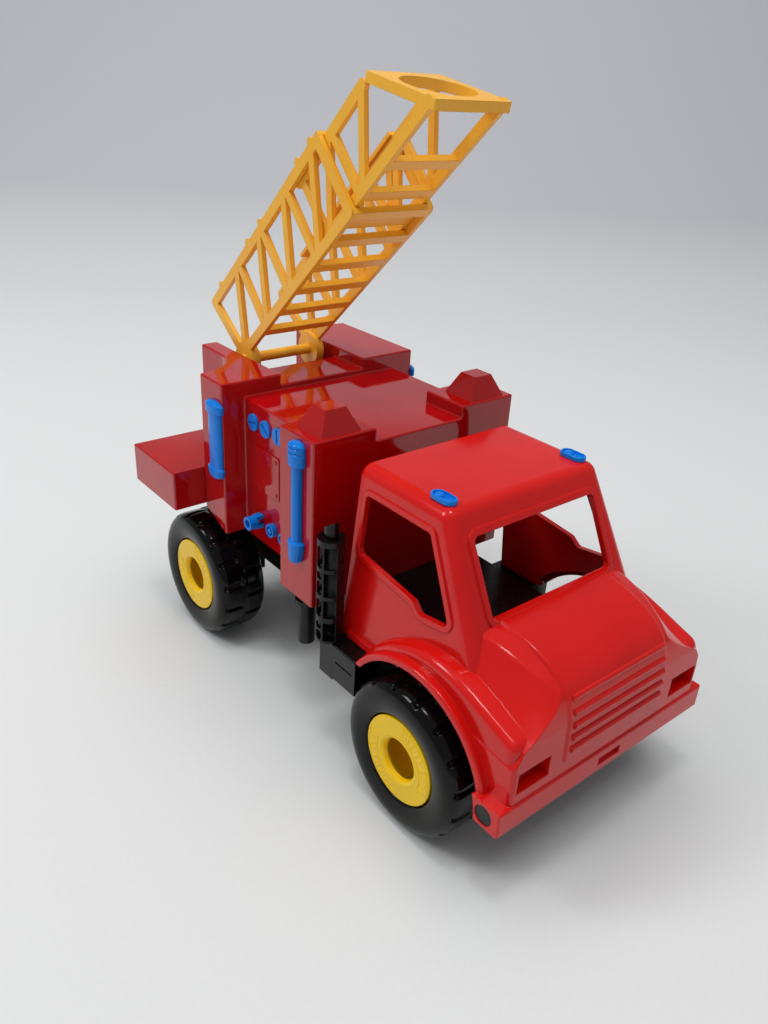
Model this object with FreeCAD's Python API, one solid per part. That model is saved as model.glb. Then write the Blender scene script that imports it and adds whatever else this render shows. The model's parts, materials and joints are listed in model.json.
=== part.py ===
import FreeCAD, Part
import math
import os

# Toy fire engine with a tilting cab and a lifting, sliding ladder.
# The model is drawn from the front axle: x forward, y to the left of the centre plane,
# z up from the ground. place() then moves every piece to the middle of the footprint.

V = FreeCAD.Vector
X_DIR = V(1, 0, 0)
Y_DIR = V(0, 1, 0)
Z_DIR = V(0, 0, 1)

# Overall layout. Cutting tools reach far past the truck and run a little past the faces they open.
wheelbase = 229.5
wall = 2.5
seat_gap = 0.1
far = 400.0
past = 1.0
lap = 0.5
hair = 0.01
open_below = 8

# Wheels and axles
tyre_r = 45.0
tyre_width = 36.0
tyre_outer_y = 90.0
tyre_side_depth = 3.5
tyre_depth = 19.5
bead_width = 2.2
side_bulge = 7.0
shoulder = 4.4
tyre_sides = 32
lug_count = 16
groove_angle = 5.6
groove_draft = 0.6
groove_depth = 2.4
groove_cover = 0.8
tread_split = 3.0
lug_end_slope = 3.4
hub_mouth = 1.3
hub_dish_r = 12.0
hub_dish_floor_r = 5.5
hub_dish_depth = 17.0
hub_inner_y = 52.5
hub_boss_r = 9.0
hub_plate = 4.0
axle_r = 3.0
axle_end_y = 64.0
running_gap = 0.05

# Chassis tray
tyre_tray_gap = 4.0
tray_low_z = 62.5
deck_z = 86.0
tray_rear = -276.0
tray_front = 30.0
hanger_width = 16.0
hanger_length = 16.0
hanger_foot = 8.0

# Cab pivot at the bumper
pivot_x = 60.0
pivot_z = 54.2
pivot_r = 5.6
pivot_gap = 0.08
horn_inner_y = 36.0
horn_outer_y = 46.0

# Cab moulding
cab_rear = -78.0
cab_low_z = 77.0
roof_z = 182.0
roof_half_width = 58.5
side_slope = 0.105
corner_round = 8.0
screen_top_x = -2.7
screen_top_z = 168.4
screen_low_x = 17.8
screen_low_z = 128.7
screen_half_width = 46.8
window_corner = 3.2
window_rim = 3.4
rim_raise = 1.1
sill_height = 4.5
sill_rear = -71.0

# Side window, from its upper rear corner round to the step in its sill
window_rear = -70.5
window_top_z = 167.5
window_low_z = 131.8
window_brow_x = -18.0
window_tip_x = 5.5
window_tip_z = 124.5
sill_step_x = -16.5
sill_step_z = 121.0
sill_shelf_x = -22.3
sill_shelf_z = 126.0

# Bonnet, fenders and wheel arches
nose_x = 69.2
nose_low_z = 60.4
nose_half_width = 77.0
hood_back_x = 19.8
hood_back_z = 127.2
brow_z = 94.0
shoulder_back_y = 56.0
shoulder_back_z = 127.0
shoulder_nose_y = 40.5
shoulder_nose_z = 105.0
shoulder_reach = 24.0
shoulder_rise = 6.0
hood_edge_y = 71.0
hood_edge_back_z = 99.0
hood_edge_nose_z = 92.5
hood_edge_drop = 9.0
hood_round = 4.0
nose_corner = 2.8
panel_back_y = 44.6
panel_nose_y = 40.5
panel_low_z = 71.5
panel_round = 2.2
hood_raise = 1.3
arch_gap = 9.0
arch_lip = 4.0
arch_lip_y = 82.0
arch_lip_round = 1.6
fender_half_width = 76.5
fender_rear_x = -51.0
fender_top_z = 111.0
fender_nose_gap = 2.0
fender_round = 5.0
fender_brow_round = 7.0

# Bumper
bumper_front = 70.4
bumper_half_width = 84.8
bumper_low_z = 46.9
bumper_top_z = 61.8
bumper_round = 1.2
lug_rear = 48.0
lug_round = 9.0
plate_recess_half = 9.0
plate_recess_depth = 1.8
plate_recess_low = 5.0
plate_recess_high = 10.0

# Grille and headlamp recesses
grille_half_width = 37.2
grille_top_z = 107.6
grille_low_z = 78.5
grille_bars = 5
bar_height = 3.8
bar_raise = 1.5
lamp_inner_y = 50.5
lamp_outer_y = 73.5
lamp_low_z = 68.5
lamp_top_z = 81.0
lamp_depth = 7.0

# Roof lamps
beacon_x = -21.5
beacon_y = 48.8
beacon_length = 24.0
beacon_width = 10.0
beacon_height = 2.6
beacon_step = 2.0

# Body moulding
body_front = -96.8
front_block_rear = -131.4
rear_block_front = -198.0
body_rear = -283.0
block_half_width = 78.2
side_half_width = 61.6
block_low_z = 85.5
side_low_z = 87.6
rear_low_z = 89.4
wheel_clear_x = -229.0
wheel_clear_z = 101.8
main_top_z = 184.0
corner_top_z = 192.0
rear_top_z = 195.1
channel_half_width = 33.8
channel_floor_z = 187.7
slot_front = -232.0
slot_floor_z = 150.0
post_front_x = -150.0
post_rear_x = -213.0
post_y = 43.5
post_r = 4.0
body_round = 1.2

# Rear standing corner on the right-hand side
alcove_wall_y = 46.4
alcove_r = 31.5
alcove_post_x = -225.5
step_rear = -287.4
step_outer_y = 101.0
step_top_z = 129.0
step_low_z = 101.8

# Corner lumps on the front block
lump_x = -111.6
lump_y = 57.5
lump_base = 25.5
lump_base_y = 28.0
lump_top = 13.0
lump_top_y = 14.0
lump_height = 13.5

# Side fittings
panel_x = -171.5
panel_z = 141.0
panel_length = 29.0
panel_height = 30.0
panel_raise = 0.8
panel_corner = 2.0
rivet_r = 1.3
rivet_raise = 0.6
rivet_inset = 3.5
gauge_x = -172.4
gauge_drop = 13.0
gauge_pitch = 14.3
gauge_r = 5.6
gauge_raise = 1.4
pointer_width = 1.4
pointer_depth = 0.8
pointer_angle = 35.0
pointer_turn = 50.0
outlet_x = -179.3
outlet_z = 104.0
outlet_r = 4.7
outlet_bore_r = 2.9
outlet_length = 11.0
nozzle_prong_depth = 5.0
nozzle_prong_width = 5.6
nozzle_prong_height = 2.6
cap_r = 4.6
cap_length = 3.5
cap_pitch = 15.0
cap_drop = 0.8
cap_ring = 1.3
long_rail_x = -110.5
long_rail_low_z = 111.0
long_rail_top_z = 189.0
long_rail_r = 3.3
short_rail_x = -204.5
short_rail_low_z = 129.0
short_rail_top_z = 183.0
short_rail_width = 8.8
short_rail_depth = 5.0
rail_standoff = 1.2
rail_foot_height = 15.0
rail_foot_width = 13.0
rail_foot_depth = 5.6
rail_foot_round = 5.4
rail_edge_round = 1.4

# Exhaust stack, step box and air tank on each side
stack_x = -77.5
stack_y = 78.6
stack_r = 8.1
stack_wall = 1.7
stack_low_z = 76.5
stack_top_z = 142.7
stack_hole = 5.0
stack_lip = 0.9
stack_lip_width = 1.5
window_angle = 52.0
window_chord = 7.0
tip_r = 4.2
tip_wall = 1.1
tip_high_z = 154.0
tip_low_z = 148.5
bracket_rear = -82.5
bracket_front = -70.0
bracket_low_z = 51.0
box_front_gap = 3.2
box_low_z = 52.5
box_top_z = 76.3
box_outer_y = 81.5
box_round = 1.2
box_slit_inset = 3.0
box_slit_height = 1.2
box_slit_depth = 1.6
box_slit_z = 65.0
tank_x = -113.5
tank_y = 70.0
tank_r = 5.4
tank_low_z = 49.0
tank_flange_r = 7.3
tank_flange = 3.0

# Ladder, drawn flat in its own plane: s along the ladder from its hinge, n upwards
hinge_x = -251.7
hinge_drop = 5.1
ladder_angle = 43.2
ladder_half_width = 29.6
side_plate = 3.2
chord = 6.6
ladder_low_n = 0.6
ladder_top_n = 53.6
ladder_end_s = 165.0
ladder_heel_s = -12.5
truss_bays = 4
truss_pitch = 39.5
truss_splay = 4.0
web = 5.4
rung_pitch = 25.4
rung_width = 7.0
rung_height = 4.0
ear_r = 12.0
ear_width = 6.0
hinge_pin_r = 3.2
hinge_bar_r = 3.7
flange_reach = 5.0
flange_height = 2.5
nub_r = 2.6
nub_width = 5.0
slide_gap = 0.4
basket_s_top = 213.2
basket_s_low = 246.4
basket_plate = 5.4
basket_hole_r = 20.5
basket_corner = 1.6
fly_rung_s = 198.5
fly_tail_s = 125.0
fly_post_s = 132.0
fly_bay = 39.0
fly_plate = 3.0

# Values worked out from the sizes above
rear_axle_x = -wheelbase
hub_r = tyre_r - tyre_depth
tyre_inner_y = tyre_outer_y - tyre_width
tray_half_width = tyre_inner_y - tyre_tray_gap
hanger_inner_y = tray_half_width - hanger_length
arch_r = tyre_r + arch_gap
step_box_front = -(tyre_r + box_front_gap)
hinge_z = rear_top_z - hinge_drop
gauge_z = main_top_z - gauge_drop
front_reach = nose_x + hood_raise + bar_raise
lean = math.radians(ladder_angle)
heel_along = (ladder_heel_s + chord / 2) * math.cos(lean) - (ladder_top_n - chord / 2) * math.sin(lean)
rear_end_x = min(hinge_x + heel_along - chord / 2, step_rear)
shift_x = -(rear_end_x + front_reach) / 2
shift_y = (step_outer_y - tyre_outer_y) / 2


def place(shape):
    """The piece moved from the front axle's frame to the middle of the footprint."""
    moved = shape.copy()
    moved.translate(V(shift_x, shift_y, 0))
    return moved


def export(name, *solids):
    """One STEP file per node; like pieces on one body share a node."""
    shape = solids[0] if len(solids) == 1 else Part.makeCompound(list(solids))
    place(shape).exportStep("parts/" + name + ".step")


def box(x0, x1, y0, y1, z0, z1):
    """A block between two corners."""
    return Part.makeBox(x1 - x0, y1 - y0, z1 - z0, V(x0, y0, z0))


def side_prism(outline, y0, y1):
    """A wire of edges, drawn at y = 0 in the x-z plane, extruded from y0 to y1."""
    face = Part.Face(outline)
    face.translate(V(0, y0, 0))
    return face.extrude(V(0, y1 - y0, 0))


def polygon_xz(points):
    """A closed outline in the x-z plane."""
    corners = [V(x, 0, z) for x, z in points]
    return Part.makePolygon(corners + [corners[0]])


def polygon_yz(points):
    """A closed outline in the y-z plane."""
    corners = [V(0, y, z) for y, z in points]
    return Part.makePolygon(corners + [corners[0]])


def runs_along(edge, direction):
    """True for a straight edge that runs along a direction."""
    ends = [vertex.Point for vertex in edge.Vertexes]
    return len(ends) == 2 and (ends[1] - ends[0]).cross(direction).Length < hair


def softened(shape, radius, direction):
    """The same block with every edge along a direction rounded."""
    return shape.makeFillet(radius, [edge for edge in shape.Edges if runs_along(edge, direction)])


def front_prism(outline, x0, x1):
    """A wire drawn at x = 0 in the y-z plane, extruded from x0 to x1."""
    face = Part.Face(outline)
    face.translate(V(x0, 0, 0))
    return face.extrude(V(x1 - x0, 0, 0))


def cross_rod(x, z, radius, y0, y1):
    """A round bar across the truck."""
    return Part.makeCylinder(radius, y1 - y0, V(x, y0, z), Y_DIR)


def upright_rod(x, y, radius, z0, z1):
    """A round bar standing up."""
    return Part.makeCylinder(radius, z1 - z0, V(x, y, z0), Z_DIR)


def mirrored(shape):
    """The same piece on the truck's other side."""
    return shape.mirror(V(0, 0, 0), Y_DIR)


def fused(shapes):
    """One solid from pieces that touch or overlap."""
    shapes = list(shapes)
    result = shapes[0]
    if len(shapes) > 1:
        result = result.fuse(shapes[1:])
    return result.removeSplitter()


def revolved_about_axle(points, x):
    """A closed outline of (y, radius) points turned about a wheel's axle line."""
    corners = [V(x, y, tyre_r + radius) for y, radius in points]
    face = Part.Face(Part.makePolygon(corners + [corners[0]]))
    return face.revolve(V(x, 0, tyre_r), Y_DIR, 360)


def faceted_ring(x, rows):
    """A ring round a wheel's axle line in flat facets, from rows of (y, angle, radius) stations."""
    def at(y, turn, r):
        return V(x + r * math.sin(turn), y, tyre_r - r * math.cos(turn))
    grid = [[at(*station) for station in row] for row in rows]
    faces = []
    for row, after in zip(grid, grid[1:] + grid[:1]):
        for step in range(len(row)):
            corners = [row[step - 1], row[step], after[step], after[step - 1]]
            faces.append(Part.Face(Part.makePolygon(corners + [corners[0]])))
    ring = Part.makeSolid(Part.makeShell(faces))
    return ring if ring.Volume > 0 else ring.reversed()


# Wheels

def tyre_core(x):
    """The tyre without its lugs: bead, dished sidewalls and a plain tread band."""
    bore = (hub_r + seat_gap) / math.cos(math.pi / tyre_sides)
    face_y = tyre_outer_y - tyre_side_depth
    tread_r = tyre_r - groove_depth - groove_cover
    outline = [
        (tyre_inner_y + bead_width, bore),
        (face_y, bore),
        (face_y, bore + bead_width),
        (tyre_outer_y - bead_width / 2, bore + side_bulge / 2),
        (tyre_outer_y, bore + side_bulge),
        (tyre_outer_y, tyre_r - side_bulge),
        (tyre_outer_y - shoulder, tread_r),
        (tyre_inner_y + shoulder, tread_r),
        (tyre_inner_y, tyre_r - side_bulge),
        (tyre_inner_y, bore + side_bulge),
    ]
    turns = [2 * math.pi * step / tyre_sides for step in range(tyre_sides)]
    return faceted_ring(x, [[(y, turn, r) for turn in turns] for y, r in outline])


def lug_row(x, inner_y, outer_y, turn):
    """One row of lugs between two planes, its far end let down over the shoulder."""
    pitch = 2 * math.pi / lug_count
    half_top = math.radians(groove_angle) / 2
    half_floor = half_top * groove_draft
    floor_r = tyre_r - groove_depth
    stations = []
    for lug in range(lug_count):
        start = turn + pitch * lug
        stations += [(start - half_floor, floor_r), (start + half_floor, floor_r)]
        stations += [(start + half_top, tyre_r), (start + pitch - half_top, tyre_r)]
    buried_r = tyre_r - side_bulge - past
    crown_y = outer_y - lug_end_slope if outer_y > inner_y else outer_y + lug_end_slope
    let_down = 1 - lug_end_slope / tyre_r
    rows = [
        [(inner_y, angle, buried_r) for angle, r in stations],
        [(inner_y, angle, r) for angle, r in stations],
        [(crown_y, angle, r) for angle, r in stations],
        [(outer_y, angle, r * let_down) for angle, r in stations],
        [(outer_y, angle, buried_r) for angle, r in stations],
    ]
    return faceted_ring(x, rows)


def tyre(x):
    """A wide tyre on the truck's left, its two rows of lugs half a pitch apart."""
    middle = (tyre_inner_y + tyre_outer_y) / 2
    half_groove = math.radians(groove_angle) / 2
    half_pitch = math.pi / lug_count
    outer = lug_row(x, middle + tread_split / 2, tyre_outer_y - lap, half_groove)
    inner = lug_row(x, middle - tread_split / 2, tyre_inner_y + lap, half_groove + half_pitch)
    return fused([tyre_core(x), outer, inner])


def hub(x):
    """A dished wheel centre: rim ring, face plate, deep conical dish and inner boss."""
    face_y = tyre_outer_y - tyre_side_depth
    floor_y = face_y - hub_dish_depth
    bore = axle_r + running_gap
    rim_back = tyre_inner_y + bead_width
    outline = [
        (hub_inner_y, bore),
        (axle_end_y + past, bore),
        (axle_end_y + past, 0.0),
        (floor_y, 0.0),
        (floor_y, hub_dish_floor_r),
        (face_y - hub_mouth, hub_dish_r),
        (face_y, hub_dish_r + hub_mouth),
        (face_y, hub_r),
        (rim_back, hub_r),
        (rim_back, hub_r - wall),
        (face_y - hub_plate, hub_r - wall),
        (face_y - hub_plate, hub_dish_r + wall),
        (floor_y - hub_plate, hub_boss_r),
        (hub_inner_y, hub_boss_r),
    ]
    return revolved_about_axle(outline, x)


def build_wheels():
    """Four wheels, each a tyre on its hub."""
    for end, x in (("front", 0.0), ("rear", rear_axle_x)):
        left_tyre = tyre(x)
        left_hub = hub(x)
        export("tyre_" + end + "_left", left_tyre)
        export("hub_" + end + "_left", left_hub)
        export("tyre_" + end + "_right", mirrored(left_tyre))
        export("hub_" + end + "_right", mirrored(left_hub))


def build_axles():
    """A plain steel rod across each pair of wheels."""
    for end, x in (("front", 0.0), ("rear", rear_axle_x)):
        export("axle_" + end, cross_rod(x, tyre_r, axle_r, -axle_end_y, axle_end_y))


# Chassis

def axle_hangers(x):
    """Two blocks that hang from the tray to hold an axle rod."""
    low_z = tyre_r - hanger_foot
    block = box(x - hanger_width / 2, x + hanger_width / 2, hanger_inner_y, tray_half_width, low_z, deck_z)
    return [block, mirrored(block)]


def pivot_horn():
    """An arm from the tray's front wall down to the pivot rod."""
    half = pivot_r * 0.9
    outline = polygon_xz([
        (tray_front - wall, deck_z),
        (tray_front, deck_z),
        (pivot_x, pivot_z + half),
        (pivot_x, pivot_z - half),
        (tray_front, pivot_z - half),
        (tray_front - wall, tray_low_z),
    ])
    return side_prism(outline, horn_inner_y, horn_outer_y)


def chassis_frame():
    """An upside-down tray with axle hangers, horns and the cab's pivot rod in one moulding."""
    tray = box(tray_rear, tray_front, -tray_half_width, tray_half_width, tray_low_z, deck_z)
    inside_half = tray_half_width - wall
    hollow = box(tray_rear + wall, tray_front - wall, -inside_half, inside_half,
                 tray_low_z - past, deck_z - wall)
    horn = pivot_horn()
    rod_end = bumper_half_width - lap
    rod = cross_rod(pivot_x, pivot_z, pivot_r, -rod_end, rod_end)
    pieces = [tray.cut(hollow), horn, mirrored(horn), rod] + outriggers()
    frame = fused(pieces + axle_hangers(0.0) + axle_hangers(rear_axle_x))
    for x in (0.0, rear_axle_x):
        frame = frame.cut(cross_rod(x, tyre_r, axle_r + running_gap, -far, far))
    return frame


def outriggers():
    """A shelf for each tank and a bracket for each stack, out from the tray's sides."""
    inner_y = tray_half_width - wall
    shelf_low = block_low_z - tank_flange - past
    tank_shelf = box(tank_x - tank_flange_r, tank_x + tank_flange_r, inner_y, tank_y + tank_r,
                     shelf_low, block_low_z - past)
    bracket = box(bracket_rear, bracket_front, inner_y, box_outer_y, bracket_low_z, stack_low_z - seat_gap)
    return [tank_shelf, bracket, mirrored(tank_shelf), mirrored(bracket)]


def air_tank():
    """An upright cylinder with a flange under its shelf."""
    top_z = block_low_z - tank_flange - past - seat_gap
    body = upright_rod(tank_x, tank_y, tank_r, tank_low_z, top_z)
    body = body.makeFillet(past, [edge for edge in body.Edges if edge.BoundBox.ZMax < tank_low_z + lap])
    return fused([body, upright_rod(tank_x, tank_y, tank_flange_r, top_z - tank_flange, top_z)])


def stack_bays():
    """The heat shield's four bays from the top down: upper and lower height, and if a bar crosses it."""
    height = stack_top_z - stack_low_z
    shares = ((0.04, 0.25, False), (0.285, 0.52, True), (0.555, 0.735, False), (0.785, 0.975, True))
    return [(stack_top_z - upper * height, stack_top_z - lower * height, split)
            for upper, lower, split in shares]


def strip_hole(low_z, high_z):
    """A hole with round ends through the shield's outer side."""
    half = stack_hole / 2
    outer_y = stack_y + stack_r + past
    ends = [cross_rod(stack_x, z, half, stack_y, outer_y) for z in (low_z + half, high_z - half)]
    return fused(ends + [box(stack_x - half, stack_x + half, stack_y, outer_y, low_z + half, high_z - half)])


def shield_window(low_z, high_z, turn):
    """A square hole through the shield, turned about the stack from its outer side."""
    tool = box(-window_chord / 2, window_chord / 2, stack_wall, stack_r + past, low_z, high_z)
    tool.rotate(V(0, 0, 0), Z_DIR, turn)
    tool.translate(V(stack_x, stack_y, 0))
    return tool


def tail_pipe():
    """The pipe above the shield, hollow at its slash-cut mouth."""
    pipe = upright_rod(stack_x, stack_y, tip_r, stack_top_z - wall, tip_high_z)
    pipe = pipe.cut(upright_rod(stack_x, stack_y, tip_r - tip_wall, stack_top_z, tip_high_z + past))
    rise = tip_high_z - tip_low_z
    slash = polygon_xz([
        (stack_x - 2 * tip_r, tip_low_z - rise / 2),
        (stack_x + 2 * tip_r, tip_high_z + rise / 2),
        (stack_x - 2 * tip_r, tip_high_z + rise / 2),
    ])
    return pipe.cut(side_prism(slash, -far, far))


def exhaust_stack():
    """A pipe in a slotted heat shield with a raised lip round its cap."""
    shield = upright_rod(stack_x, stack_y, stack_r, stack_low_z, stack_top_z)
    lip = upright_rod(stack_x, stack_y, stack_r, stack_top_z - lap, stack_top_z + stack_lip)
    lip = lip.cut(upright_rod(stack_x, stack_y, stack_r - stack_lip_width, 0, far))
    bore = upright_rod(stack_x, stack_y, stack_r - stack_wall, stack_low_z + wall, stack_top_z - wall)
    tools = [bore]
    for high_z, low_z, split in stack_bays():
        tools += [shield_window(low_z, high_z, turn) for turn in (-window_angle, window_angle)]
        if split:
            tools.append(strip_hole(high_z - stack_hole - seat_gap, high_z))
            tools.append(strip_hole(low_z, high_z - stack_hole - past))
        else:
            tools.append(strip_hole(low_z, high_z))
    shield = shield.cut(tools)
    return fused([shield, lip, tail_pipe()])


def step_box():
    """A box between the stack's bracket and the front wheel, with a level slit in its side."""
    rear = bracket_front + seat_gap
    block = box(rear, step_box_front, tray_half_width + seat_gap, box_outer_y, box_low_z, box_top_z)
    top_edges = [edge for edge in block.Edges if edge.BoundBox.ZMin > box_top_z - lap]
    outer_edges = [edge for edge in top_edges if edge.BoundBox.YMax > box_outer_y - lap]
    block = block.makeFillet(box_round, outer_edges)
    slit = box(rear + box_slit_inset, step_box_front - box_slit_inset, box_outer_y - box_slit_depth,
               box_outer_y + past, box_slit_z, box_slit_z + box_slit_height)
    stack_room = upright_rod(stack_x, stack_y, stack_r + seat_gap, stack_low_z - seat_gap, stack_top_z)
    return block.cut(slit).cut(stack_room)


def build_chassis():
    """The chassis moulding and what hangs on its sides."""
    export("chassis_frame", chassis_frame())
    pieces = (("air_tank", air_tank()), ("exhaust_stack", exhaust_stack()), ("step_box", step_box()))
    for name, piece in pieces:
        export(name + "_left", piece)
        export(name + "_right", mirrored(piece))


# Cab moulding

def screen_x(z, inset=0.0):
    """The windscreen plane's x at a height, moved inwards by an inset."""
    slant = (screen_top_x - screen_low_x) / (screen_top_z - screen_low_z)
    return screen_low_x + (z - screen_low_z) * slant - inset * math.hypot(1, slant)


def greenhouse(inset):
    """The upper cab, moved in by an inset: two outlines crossed, all but the rear edges rounded."""
    top = roof_z - inset
    low = cab_low_z - max(inset, 0) * corner_round
    rear = cab_rear - max(inset, 0) * 2
    side = polygon_xz([(rear, low), (rear, top), (screen_x(top, inset), top), (screen_x(low, inset), low)])
    half_top = roof_half_width - inset + side_slope * inset
    half_low = roof_half_width + side_slope * (roof_z - low) - inset
    front = polygon_yz([(-half_low, low), (-half_top, top), (half_top, top), (half_low, low)])
    body = side_prism(side, -far, far).common(front_prism(front, -far, far))
    edges = [edge for edge in body.Edges
             if edge.BoundBox.XMax > rear + past and edge.BoundBox.ZMax > low + past]
    return body.makeFillet(corner_round - inset, edges)


def hood_curve(inset):
    """The bonnet's falling top line, from the windscreen's foot over the brow to the nose."""
    length = nose_x - hood_back_x
    drop = hood_back_z - brow_z
    shares = ((0.0, 0.0), (0.287, 0.054), (0.571, 0.178), (0.773, 0.355),
              (0.895, 0.539), (0.951, 0.744), (0.985, 1.0))
    points = []
    for along, down in shares:
        tilt = math.radians(90) * min(1.0, 0.12 + 0.88 * down)
        x = hood_back_x + along * length - inset * math.sin(tilt)
        z = hood_back_z - down * drop - inset * math.cos(tilt)
        points.append(V(x, 0, z))
    return points


def hood_side(inset, low):
    """The bonnet's side outline, its nose leaning out down to a level."""
    points = hood_curve(inset)
    curve = Part.BSplineCurve()
    curve.interpolate(points)
    start = V(0, 0, points[0].z + past)
    chin = V(nose_x - inset, 0, grille_low_z)
    foot = V(nose_x - inset, 0, low)
    back = V(0, 0, low)
    return Part.Wire([
        Part.makeLine(start, points[0]),
        curve.toShape(),
        Part.makeLine(points[-1], chin),
        Part.makeLine(chin, foot),
        Part.makeLine(foot, back),
        Part.makeLine(back, start),
    ])


def hood_section(along, inward, down, inset, low):
    """The bonnet's front outline at a share of its length, its shoulder drawn inwards and down by shares."""
    half = nose_half_width - inset
    peak_y = shoulder_back_y - (shoulder_back_y - shoulder_nose_y) * inward - inset
    peak_z = shoulder_back_z - (shoulder_back_z - shoulder_nose_z) * down - inset
    edge_z = hood_edge_back_z - (hood_edge_back_z - hood_edge_nose_z) * along - inset
    right = [
        (half, low), (half, edge_z - hood_edge_drop), (hood_edge_y - inset, edge_z),
        (peak_y, peak_z), (peak_y - shoulder_reach, peak_z + shoulder_rise),
    ]
    points = right + [(-y, z) for y, z in reversed(right)]
    corners = [V(-past + along * (nose_x + 2 * past), y, z) for y, z in points]
    return Part.makePolygon(corners + [corners[0]])


def hood(inset):
    """The bonnet: its side outline met by a front outline whose shoulders draw in towards the nose."""
    low = nose_low_z - max(inset, 0) * corner_round
    shares = ((0.0, 0.0, 0.0), (0.43, 0.13, 0.145), (0.73, 0.47, 0.445), (1.0, 1.0, 1.0))
    sections = [hood_section(along, inward, down, inset, low) for along, inward, down in shares]
    block = side_prism(hood_side(inset, low), -far, far).common(Part.makeLoft(sections, True, False))
    corners = [edge for edge in block.Edges
               if runs_along(edge, Z_DIR) and edge.BoundBox.XMin > nose_x - wall - lap]
    block = block.makeFillet(nose_corner - inset, corners)
    edges = [edge for edge in block.Edges if is_shoulder(edge)]
    return block.makeFillet(hood_round, edges)


def is_shoulder(edge):
    """True for the bonnet's two shoulder lines and the edges of its top where they fall to the nose."""
    bounds = edge.BoundBox
    one_side = bounds.YMin > shoulder_nose_y - wall - past or bounds.YMax < -shoulder_nose_y + wall + past
    return one_side and bounds.XLength > nose_x / 2 and bounds.YLength > corner_round


def hood_panel():
    """The bonnet's raised middle, drawn in a little at the nose, with softened sides."""
    block = side_prism(hood_side(-hood_raise, panel_low_z), -far, far)
    plan = [V(past, panel_back_y, 0), V(nose_x + wall, panel_nose_y, 0)]
    plan += [V(nose_x + wall, -panel_nose_y, 0), V(past, -panel_back_y, 0)]
    face = Part.Face(Part.makePolygon(plan + [plan[0]]))
    panel = block.common(face.extrude(V(0, 0, far)))
    edges = [edge for edge in panel.Edges if is_panel_side(edge)]
    return panel.makeFillet(panel_round, edges)


def is_panel_side(edge):
    """True for the panel's two long side edges, over the bonnet and down the nose."""
    bounds = edge.BoundBox
    one_side = bounds.YMin > 0 or bounds.YMax < 0
    return one_side and bounds.XMax > hood_back_x + past and bounds.ZMax > panel_low_z + past


def fender(inset):
    """The wheel-arch bulge across the cab, its crest rising over the wheel, with rounded sides."""
    low = nose_low_z - max(inset, 0) * corner_round
    start_x = fender_rear_x + inset
    end_x = nose_x - fender_nose_gap - inset
    rise = fender_top_z - cab_low_z
    shares = ((0.0, 0.0), (0.205, 0.706), (0.513, 1.0), (0.83, 0.745), (1.0, 0.55))
    points = []
    for along, up in shares:
        drop = inset if up > 0 else 0
        points.append(V(start_x + along * (end_x - start_x), 0, cab_low_z + up * rise - drop))
    crest = Part.BSplineCurve()
    crest.interpolate(points)
    foot = V(end_x, 0, low)
    outline = Part.Wire([
        crest.toShape(),
        Part.makeLine(points[-1], foot),
        Part.makeLine(foot, V(0, 0, low)),
        Part.makeLine(V(0, 0, low), V(0, 0, cab_low_z)),
        Part.makeLine(V(0, 0, cab_low_z), points[0]),
    ])
    half = fender_half_width - inset
    block = side_prism(outline, -half, half)
    front_edges = [edge for edge in block.Edges if edge.BoundBox.XMin > end_x - lap]
    brow = [edge for edge in front_edges if runs_along(edge, Y_DIR) and edge.BoundBox.ZMin > cab_low_z]
    block = block.makeFillet(fender_brow_round - inset, brow)
    crest_edges = [edge for edge in block.Edges
                   if edge.BoundBox.XLength > end_x and edge.BoundBox.ZLength > rise / 3]
    return block.makeFillet(fender_round - inset, crest_edges)


def side_opening():
    """The side windows' outline, with its stepped sill."""
    return polygon_xz([
        (window_rear, window_low_z), (window_rear, window_top_z), (window_brow_x, window_top_z),
        (window_tip_x, window_tip_z), (sill_step_x, sill_step_z), (sill_shelf_x, sill_shelf_z),
    ])


def front_opening():
    """The windscreen's outline."""
    half = screen_half_width
    return polygon_yz([
        (-half, screen_low_z), (-half, screen_top_z), (half, screen_top_z), (half, screen_low_z),
    ])


def window_tool(grow):
    """All three window openings as cutting blocks with rounded corners, grown outwards by a margin."""
    side = side_opening()
    front = front_opening()
    if grow > 0:
        side = side.makeOffset2D(grow, 2)
        front = front.makeOffset2D(grow, 2)
    side_block = softened(side_prism(side, -far, far), window_corner + grow, Y_DIR)
    front_block = softened(front_prism(front, screen_top_x - corner_round, far), window_corner + grow, X_DIR)
    return side_block.fuse(front_block)


def window_rims():
    """Raised bands round the windows, on the greenhouse's own surface."""
    skin = greenhouse(-rim_raise).cut(greenhouse(wall))
    return skin.common(window_tool(window_rim)).Solids


def sills():
    """A raised band along each side's lower edge, from the stack to the fender."""
    skin = greenhouse(-rim_raise).cut(greenhouse(wall))
    band = box(sill_rear, fender_rear_x + corner_round, -far, far, cab_low_z, cab_low_z + sill_height)
    return skin.common(band).Solids


def grille():
    """Level half-round bars across the nose's raised panel."""
    pitch = (grille_top_z - grille_low_z) / (grille_bars - 1)
    bars = []
    for row in range(grille_bars):
        z = grille_low_z + pitch * row
        x = nose_at(z) + hood_raise
        half = bar_height / 2
        outline = polygon_xz([
            (x - past, z - half), (x + bar_raise / 3, z - half), (x + bar_raise, z - half / 3),
            (x + bar_raise, z + half / 3), (x + bar_raise / 3, z + half), (x - past, z + half),
        ])
        bars.append(side_prism(outline, -grille_half_width, grille_half_width))
    return bars


def nose_at(z):
    """The nose's x at a height, on the outline of the bonnet."""
    points = hood_curve(0.0) + [V(nose_x, 0, grille_low_z)]
    for upper, lower in zip(points, points[1:]):
        if upper.z >= z >= lower.z:
            return upper.x + (lower.x - upper.x) * (upper.z - z) / (upper.z - lower.z)
    return nose_x


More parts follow.
